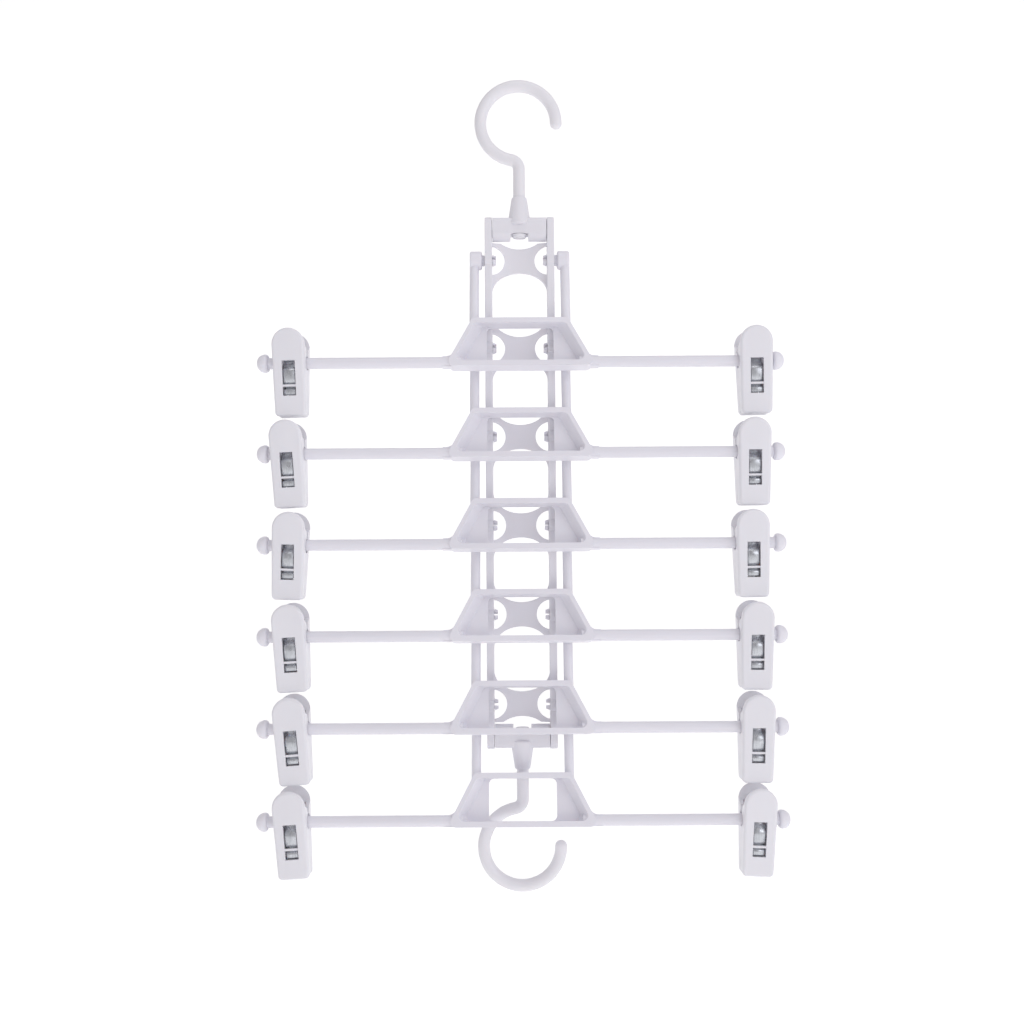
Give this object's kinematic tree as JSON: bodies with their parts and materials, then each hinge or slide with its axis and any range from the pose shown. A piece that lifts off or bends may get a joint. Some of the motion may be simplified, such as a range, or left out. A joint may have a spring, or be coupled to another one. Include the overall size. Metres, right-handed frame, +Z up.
{
  "type": "clip drying hanger",
  "caption": "Folding hanger: a ladder frame with a swivel hook at each end, U-shaped tiers that swing out, and spring clips that slide on rods.",
  "frame": {"origin": "on the upper hook's swivel axis, at the point under its crown that rests on a rail", "axes": "+Z up along the ladder, -Y towards the tiers and clips, X along the rods"},
  "size_m": [0.34, 0.0369, 0.5367],
  "materials": {
    "hanger_plastic": "satin moulded polypropylene",
    "clip_plastic": "satin moulded polypropylene",
    "spring_steel": "zinc plated spring steel"
  },
  "bodies": {
    "ladder": {"ladder_frame": "hanger_plastic"},
    "top_yoke_arm": {"top_yoke": "hanger_plastic"},
    "top_hook_swivel": {"top_hook": "hanger_plastic"},
    "bottom_yoke_arm": {"bottom_yoke": "hanger_plastic"},
    "bottom_hook_swivel": {"bottom_hook": "hanger_plastic"},
    "tier_arm_1": {"tier_1": "hanger_plastic"},
    "tier_arm_2": {"tier_2": "hanger_plastic"},
    "tier_arm_3": {"tier_3": "hanger_plastic"},
    "tier_arm_4": {"tier_4": "hanger_plastic"},
    "tier_arm_5": {"tier_5": "hanger_plastic"},
    "tier_arm_6": {"tier_6": "hanger_plastic"},
    "clip_left_1": {"spring_left_1": "spring_steel"},
    "clip_front_left_1": {"front_jaw_left_1": "clip_plastic"},
    "clip_rear_left_1": {"rear_jaw_left_1": "clip_plastic"},
    "clip_right_1": {"spring_right_1": "spring_steel"},
    "clip_front_right_1": {"front_jaw_right_1": "clip_plastic"},
    "clip_rear_right_1": {"rear_jaw_right_1": "clip_plastic"},
    "clip_left_2": {"spring_left_2": "spring_steel"},
    "clip_front_left_2": {"front_jaw_left_2": "clip_plastic"},
    "clip_rear_left_2": {"rear_jaw_left_2": "clip_plastic"},
    "clip_right_2": {"spring_right_2": "spring_steel"},
    "clip_front_right_2": {"front_jaw_right_2": "clip_plastic"},
    "clip_rear_right_2": {"rear_jaw_right_2": "clip_plastic"},
    "clip_left_3": {"spring_left_3": "spring_steel"},
    "clip_front_left_3": {"front_jaw_left_3": "clip_plastic"},
    "clip_rear_left_3": {"rear_jaw_left_3": "clip_plastic"},
    "clip_right_3": {"spring_right_3": "spring_steel"},
    "clip_front_right_3": {"front_jaw_right_3": "clip_plastic"},
    "clip_rear_right_3": {"rear_jaw_right_3": "clip_plastic"},
    "clip_left_4": {"spring_left_4": "spring_steel"},
    "clip_front_left_4": {"front_jaw_left_4": "clip_plastic"},
    "clip_rear_left_4": {"rear_jaw_left_4": "clip_plastic"},
    "clip_right_4": {"spring_right_4": "spring_steel"},
    "clip_front_right_4": {"front_jaw_right_4": "clip_plastic"},
    "clip_rear_right_4": {"rear_jaw_right_4": "clip_plastic"},
    "clip_left_5": {"spring_left_5": "spring_steel"},
    "clip_front_left_5": {"front_jaw_left_5": "clip_plastic"},
    "clip_rear_left_5": {"rear_jaw_left_5": "clip_plastic"},
    "clip_right_5": {"spring_right_5": "spring_steel"},
    "clip_front_right_5": {"front_jaw_right_5": "clip_plastic"},
    "clip_rear_right_5": {"rear_jaw_right_5": "clip_plastic"},
    "clip_left_6": {"spring_left_6": "spring_steel"},
    "clip_front_left_6": {"front_jaw_left_6": "clip_plastic"},
    "clip_rear_left_6": {"rear_jaw_left_6": "clip_plastic"},
    "clip_right_6": {"spring_right_6": "spring_steel"},
    "clip_front_right_6": {"front_jaw_right_6": "clip_plastic"},
    "clip_rear_right_6": {"rear_jaw_right_6": "clip_plastic"}
  },
  "joints": [
    {"name": "top_yoke_hinge", "type": "hinge", "parent": "ladder", "child": "top_yoke_arm", "pos_m": [0, 0, -0.0954], "axis": [-1, 0, 0], "range_deg": [-90, 90]},
    {"name": "top_hook_swivel_joint", "type": "hinge", "parent": "top_yoke_arm", "child": "top_hook_swivel", "pos_m": [0, 0, -0.0954], "axis": [0, 0, 1], "continuous": true},
    {"name": "bottom_yoke_hinge", "type": "hinge", "parent": "ladder", "child": "bottom_yoke_arm", "pos_m": [0, 0, -0.4253], "axis": [1, 0, 0], "range_deg": [0, 90]},
    {"name": "bottom_hook_swivel_joint", "type": "hinge", "parent": "bottom_yoke_arm", "child": "bottom_hook_swivel", "pos_m": [0, 0, -0.4253], "axis": [0, 0, 1], "range_deg": [-25, 25]},
    {"name": "tier_1_fold", "type": "hinge", "parent": "ladder", "child": "tier_arm_1", "pos_m": [0, 0, -0.1136], "axis": [-1, 0, 0], "range_deg": [0, 135]},
    {"name": "tier_2_fold", "type": "hinge", "parent": "ladder", "child": "tier_arm_2", "pos_m": [0, 0, -0.1723], "axis": [-1, 0, 0], "range_deg": [0, 135]},
    {"name": "tier_3_fold", "type": "hinge", "parent": "ladder", "child": "tier_arm_3", "pos_m": [0, 0, -0.231], "axis": [-1, 0, 0], "range_deg": [0, 135]},
    {"name": "tier_4_fold", "type": "hinge", "parent": "ladder", "child": "tier_arm_4", "pos_m": [0, 0, -0.2897], "axis": [-1, 0, 0], "range_deg": [0, 135]},
    {"name": "tier_5_fold", "type": "hinge", "parent": "ladder", "child": "tier_arm_5", "pos_m": [0, 0, -0.3484], "axis": [-1, 0, 0], "range_deg": [0, 135]},
    {"name": "tier_6_fold", "type": "hinge", "parent": "ladder", "child": "tier_arm_6", "pos_m": [0, 0, -0.4071], "axis": [-1, 0, 0], "range_deg": [0, 135]},
    {"name": "clip_left_1_slide", "type": "slide", "parent": "tier_arm_1", "child": "clip_left_1", "axis": [1, 0, 0], "range_m": [-0.0036, 0.082]},
    {"name": "front_jaw_left_1_pinch", "type": "hinge", "parent": "clip_left_1", "child": "clip_front_left_1", "pos_m": [-0.148, -0.01771, -0.18463], "axis": [-0.9997, 0, -0.0244], "range_deg": [0, 14], "stiffness_Nm_per_rad": 0.05, "springref_deg": -11.46, "deforming": ["spring_left_1"]},
    {"name": "rear_jaw_left_1_pinch", "type": "hinge", "parent": "clip_left_1", "child": "clip_rear_left_1", "pos_m": [-0.148, -0.01771, -0.18463], "axis": [0.9997, 0, 0.0244], "range_deg": [0, 14], "stiffness_Nm_per_rad": 0.05, "springref_deg": -11.46, "deforming": ["spring_left_1"]},
    {"name": "clip_right_1_slide", "type": "slide", "parent": "tier_arm_1", "child": "clip_right_1", "axis": [-1, 0, 0], "range_m": [-0.0008, 0.0848]},
    {"name": "front_jaw_right_1_pinch", "type": "hinge", "parent": "clip_right_1", "child": "clip_front_right_1", "pos_m": [0.1508, -0.01771, -0.18463], "axis": [-0.9999, 0, -0.0157], "range_deg": [0, 14], "stiffness_Nm_per_rad": 0.05, "springref_deg": -11.46, "deforming": ["spring_right_1"]},
    {"name": "rear_jaw_right_1_pinch", "type": "hinge", "parent": "clip_right_1", "child": "clip_rear_right_1", "pos_m": [0.1508, -0.01771, -0.18463], "axis": [0.9999, 0, 0.0157], "range_deg": [0, 14], "stiffness_Nm_per_rad": 0.05, "springref_deg": -11.46, "deforming": ["spring_right_1"]},
    {"name": "clip_left_2_slide", "type": "slide", "parent": "tier_arm_2", "child": "clip_left_2", "axis": [1, 0, 0], "range_m": [-0.0021, 0.0835]},
    {"name": "front_jaw_left_2_pinch", "type": "hinge", "parent": "clip_left_2", "child": "clip_front_left_2", "pos_m": [-0.1495, -0.01771, -0.24333], "axis": [-0.9985, 0, -0.0541], "range_deg": [0, 14], "stiffness_Nm_per_rad": 0.05, "springref_deg": -11.46, "deforming": ["spring_left_2"]},
    {"name": "rear_jaw_left_2_pinch", "type": "hinge", "parent": "clip_left_2", "child": "clip_rear_left_2", "pos_m": [-0.1495, -0.01771, -0.24333], "axis": [0.9985, 0, 0.0541], "range_deg": [0, 14], "stiffness_Nm_per_rad": 0.05, "springref_deg": -11.46, "deforming": ["spring_left_2"]},
    {"name": "clip_right_2_slide", "type": "slide", "parent": "tier_arm_2", "child": "clip_right_2", "axis": [-1, 0, 0], "range_m": [-0.0026, 0.083]},
    {"name": "front_jaw_right_2_pinch", "type": "hinge", "parent": "clip_right_2", "child": "clip_front_right_2", "pos_m": [0.149, -0.01771, -0.24333], "axis": [-1, 0, -0.0017], "range_deg": [0, 14], "stiffness_Nm_per_rad": 0.05, "springref_deg": -11.46, "deforming": ["spring_right_2"]},
    {"name": "rear_jaw_right_2_pinch", "type": "hinge", "parent": "clip_right_2", "child": "clip_rear_right_2", "pos_m": [0.149, -0.01771, -0.24333], "axis": [1, 0, 0.0017], "range_deg": [0, 14], "stiffness_Nm_per_rad": 0.05, "springref_deg": -11.46, "deforming": ["spring_right_2"]},
    {"name": "clip_left_3_slide", "type": "slide", "parent": "tier_arm_3", "child": "clip_left_3", "axis": [1, 0, 0], "range_m": [-0.0033, 0.0823]},
    {"name": "front_jaw_left_3_pinch", "type": "hinge", "parent": "clip_left_3", "child": "clip_front_left_3", "pos_m": [-0.1483, -0.01771, -0.30203], "axis": [-0.9994, 0, 0.0349], "range_deg": [0, 14], "stiffness_Nm_per_rad": 0.05, "springref_deg": -11.46, "deforming": ["spring_left_3"]},
    {"name": "rear_jaw_left_3_pinch", "type": "hinge", "parent": "clip_left_3", "child": "clip_rear_left_3", "pos_m": [-0.1483, -0.01771, -0.30203], "axis": [0.9994, 0, -0.0349], "range_deg": [0, 14], "stiffness_Nm_per_rad": 0.05, "springref_deg": -11.46, "deforming": ["spring_left_3"]},
    {"name": "clip_right_3_slide", "type": "slide", "parent": "tier_arm_3", "child": "clip_right_3", "axis": [-1, 0, 0], "range_m": [-0.0044, 0.0812]},
    {"name": "front_jaw_right_3_pinch", "type": "hinge", "parent": "clip_right_3", "child": "clip_front_right_3", "pos_m": [0.1472, -0.01771, -0.30203], "axis": [-0.9999, 0, -0.0122], "range_deg": [0, 14], "stiffness_Nm_per_rad": 0.05, "springref_deg": -11.46, "deforming": ["spring_right_3"]},
    {"name": "rear_jaw_right_3_pinch", "type": "hinge", "parent": "clip_right_3", "child": "clip_rear_right_3", "pos_m": [0.1472, -0.01771, -0.30203], "axis": [0.9999, 0, 0.0122], "range_deg": [0, 14], "stiffness_Nm_per_rad": 0.05, "springref_deg": -11.46, "deforming": ["spring_right_3"]},
    {"name": "clip_left_4_slide", "type": "slide", "parent": "tier_arm_4", "child": "clip_left_4", "axis": [1, 0, 0], "range_m": [-0.0038, 0.0818]},
    {"name": "front_jaw_left_4_pinch", "type": "hinge", "parent": "clip_left_4", "child": "clip_front_left_4", "pos_m": [-0.1478, -0.01771, -0.36073], "axis": [-0.9985, 0, -0.0541], "range_deg": [0, 14], "stiffness_Nm_per_rad": 0.05, "springref_deg": -11.46, "deforming": ["spring_left_4"]},
    {"name": "rear_jaw_left_4_pinch", "type": "hinge", "parent": "clip_left_4", "child": "clip_rear_left_4", "pos_m": [-0.1478, -0.01771, -0.36073], "axis": [0.9985, 0, 0.0541], "range_deg": [0, 14], "stiffness_Nm_per_rad": 0.05, "springref_deg": -11.46, "deforming": ["spring_left_4"]},
    {"name": "clip_right_4_slide", "type": "slide", "parent": "tier_arm_4", "child": "clip_right_4", "axis": [-1, 0, 0], "range_m": [-0.0025, 0.0831]},
    {"name": "front_jaw_right_4_pinch", "type": "hinge", "parent": "clip_right_4", "child": "clip_front_right_4", "pos_m": [0.1491, -0.01771, -0.36073], "axis": [-0.9999, 0, 0.0105], "range_deg": [0, 14], "stiffness_Nm_per_rad": 0.05, "springref_deg": -11.46, "deforming": ["spring_right_4"]},
    {"name": "rear_jaw_right_4_pinch", "type": "hinge", "parent": "clip_right_4", "child": "clip_rear_right_4", "pos_m": [0.1491, -0.01771, -0.36073], "axis": [0.9999, 0, -0.0105], "range_deg": [0, 14], "stiffness_Nm_per_rad": 0.05, "springref_deg": -11.46, "deforming": ["spring_right_4"]},
    {"name": "clip_left_5_slide", "type": "slide", "parent": "tier_arm_5", "child": "clip_left_5", "axis": [1, 0, 0], "range_m": [-0.0046, 0.081]},
    {"name": "front_jaw_left_5_pinch", "type": "hinge", "parent": "clip_left_5", "child": "clip_front_left_5", "pos_m": [-0.147, -0.01771, -0.41943], "axis": [-0.9973, 0, -0.0732], "range_deg": [0, 14], "stiffness_Nm_per_rad": 0.05, "springref_deg": -11.46, "deforming": ["spring_left_5"]},
    {"name": "rear_jaw_left_5_pinch", "type": "hinge", "parent": "clip_left_5", "child": "clip_rear_left_5", "pos_m": [-0.147, -0.01771, -0.41943], "axis": [0.9973, 0, 0.0732], "range_deg": [0, 14], "stiffness_Nm_per_rad": 0.05, "springref_deg": -11.46, "deforming": ["spring_left_5"]},
    {"name": "clip_right_5_slide", "type": "slide", "parent": "tier_arm_5", "child": "clip_right_5", "axis": [-1, 0, 0], "range_m": [-0.0026, 0.083]},
    {"name": "front_jaw_right_5_pinch", "type": "hinge", "parent": "clip_right_5", "child": "clip_front_right_5", "pos_m": [0.149, -0.01771, -0.41943], "axis": [-0.9999, 0, 0.0157], "range_deg": [0, 14], "stiffness_Nm_per_rad": 0.05, "springref_deg": -11.46, "deforming": ["spring_right_5"]},
    {"name": "rear_jaw_right_5_pinch", "type": "hinge", "parent": "clip_right_5", "child": "clip_rear_right_5", "pos_m": [0.149, -0.01771, -0.41943], "axis": [0.9999, 0, -0.0157], "range_deg": [0, 14], "stiffness_Nm_per_rad": 0.05, "springref_deg": -11.46, "deforming": ["spring_right_5"]},
    {"name": "clip_left_6_slide", "type": "slide", "parent": "tier_arm_6", "child": "clip_left_6", "axis": [1, 0, 0], "range_m": [-0.0045, 0.0811]},
    {"name": "front_jaw_left_6_pinch", "type": "hinge", "parent": "clip_left_6", "child": "clip_front_left_6", "pos_m": [-0.1471, -0.01771, -0.47813], "axis": [-0.9979, 0, -0.0645], "range_deg": [0, 14], "stiffness_Nm_per_rad": 0.05, "springref_deg": -11.46, "deforming": ["spring_left_6"]},
    {"name": "rear_jaw_left_6_pinch", "type": "hinge", "parent": "clip_left_6", "child": "clip_rear_left_6", "pos_m": [-0.1471, -0.01771, -0.47813], "axis": [0.9979, 0, 0.0645], "range_deg": [0, 14], "stiffness_Nm_per_rad": 0.05, "springref_deg": -11.46, "deforming": ["spring_left_6"]},
    {"name": "clip_right_6_slide", "type": "slide", "parent": "tier_arm_6", "child": "clip_right_6", "axis": [-1, 0, 0], "range_m": [-0.0025, 0.0831]},
    {"name": "front_jaw_right_6_pinch", "type": "hinge", "parent": "clip_right_6", "child": "clip_front_right_6", "pos_m": [0.1491, -0.01771, -0.47813], "axis": [-0.9992, 0, 0.0401], "range_deg": [0, 14], "stiffness_Nm_per_rad": 0.05, "springref_deg": -11.46, "deforming": ["spring_right_6"]},
    {"name": "rear_jaw_right_6_pinch", "type": "hinge", "parent": "clip_right_6", "child": "clip_rear_right_6", "pos_m": [0.1491, -0.01771, -0.47813], "axis": [0.9992, 0, -0.0401], "range_deg": [0, 14], "stiffness_Nm_per_rad": 0.05, "springref_deg": -11.46, "deforming": ["spring_right_6"]}
  ],
  "couplings": [
    {"joint": "tier_2_fold", "follows": "tier_1_fold", "ratio": 1},
    {"joint": "tier_3_fold", "follows": "tier_1_fold", "ratio": 1},
    {"joint": "tier_4_fold", "follows": "tier_1_fold", "ratio": 1},
    {"joint": "tier_5_fold", "follows": "tier_1_fold", "ratio": 1},
    {"joint": "tier_6_fold", "follows": "tier_1_fold", "ratio": 1},
    {"joint": "rear_jaw_left_1_pinch", "follows": "front_jaw_left_1_pinch", "ratio": 1},
    {"joint": "rear_jaw_right_1_pinch", "follows": "front_jaw_right_1_pinch", "ratio": 1},
    {"joint": "rear_jaw_left_2_pinch", "follows": "front_jaw_left_2_pinch", "ratio": 1},
    {"joint": "rear_jaw_right_2_pinch", "follows": "front_jaw_right_2_pinch", "ratio": 1},
    {"joint": "rear_jaw_left_3_pinch", "follows": "front_jaw_left_3_pinch", "ratio": 1},
    {"joint": "rear_jaw_right_3_pinch", "follows": "front_jaw_right_3_pinch", "ratio": 1},
    {"joint": "rear_jaw_left_4_pinch", "follows": "front_jaw_left_4_pinch", "ratio": 1},
    {"joint": "rear_jaw_right_4_pinch", "follows": "front_jaw_right_4_pinch", "ratio": 1},
    {"joint": "rear_jaw_left_5_pinch", "follows": "front_jaw_left_5_pinch", "ratio": 1},
    {"joint": "rear_jaw_right_5_pinch", "follows": "front_jaw_right_5_pinch", "ratio": 1},
    {"joint": "rear_jaw_left_6_pinch", "follows": "front_jaw_left_6_pinch", "ratio": 1},
    {"joint": "rear_jaw_right_6_pinch", "follows": "front_jaw_right_6_pinch", "ratio": 1}
  ]
}
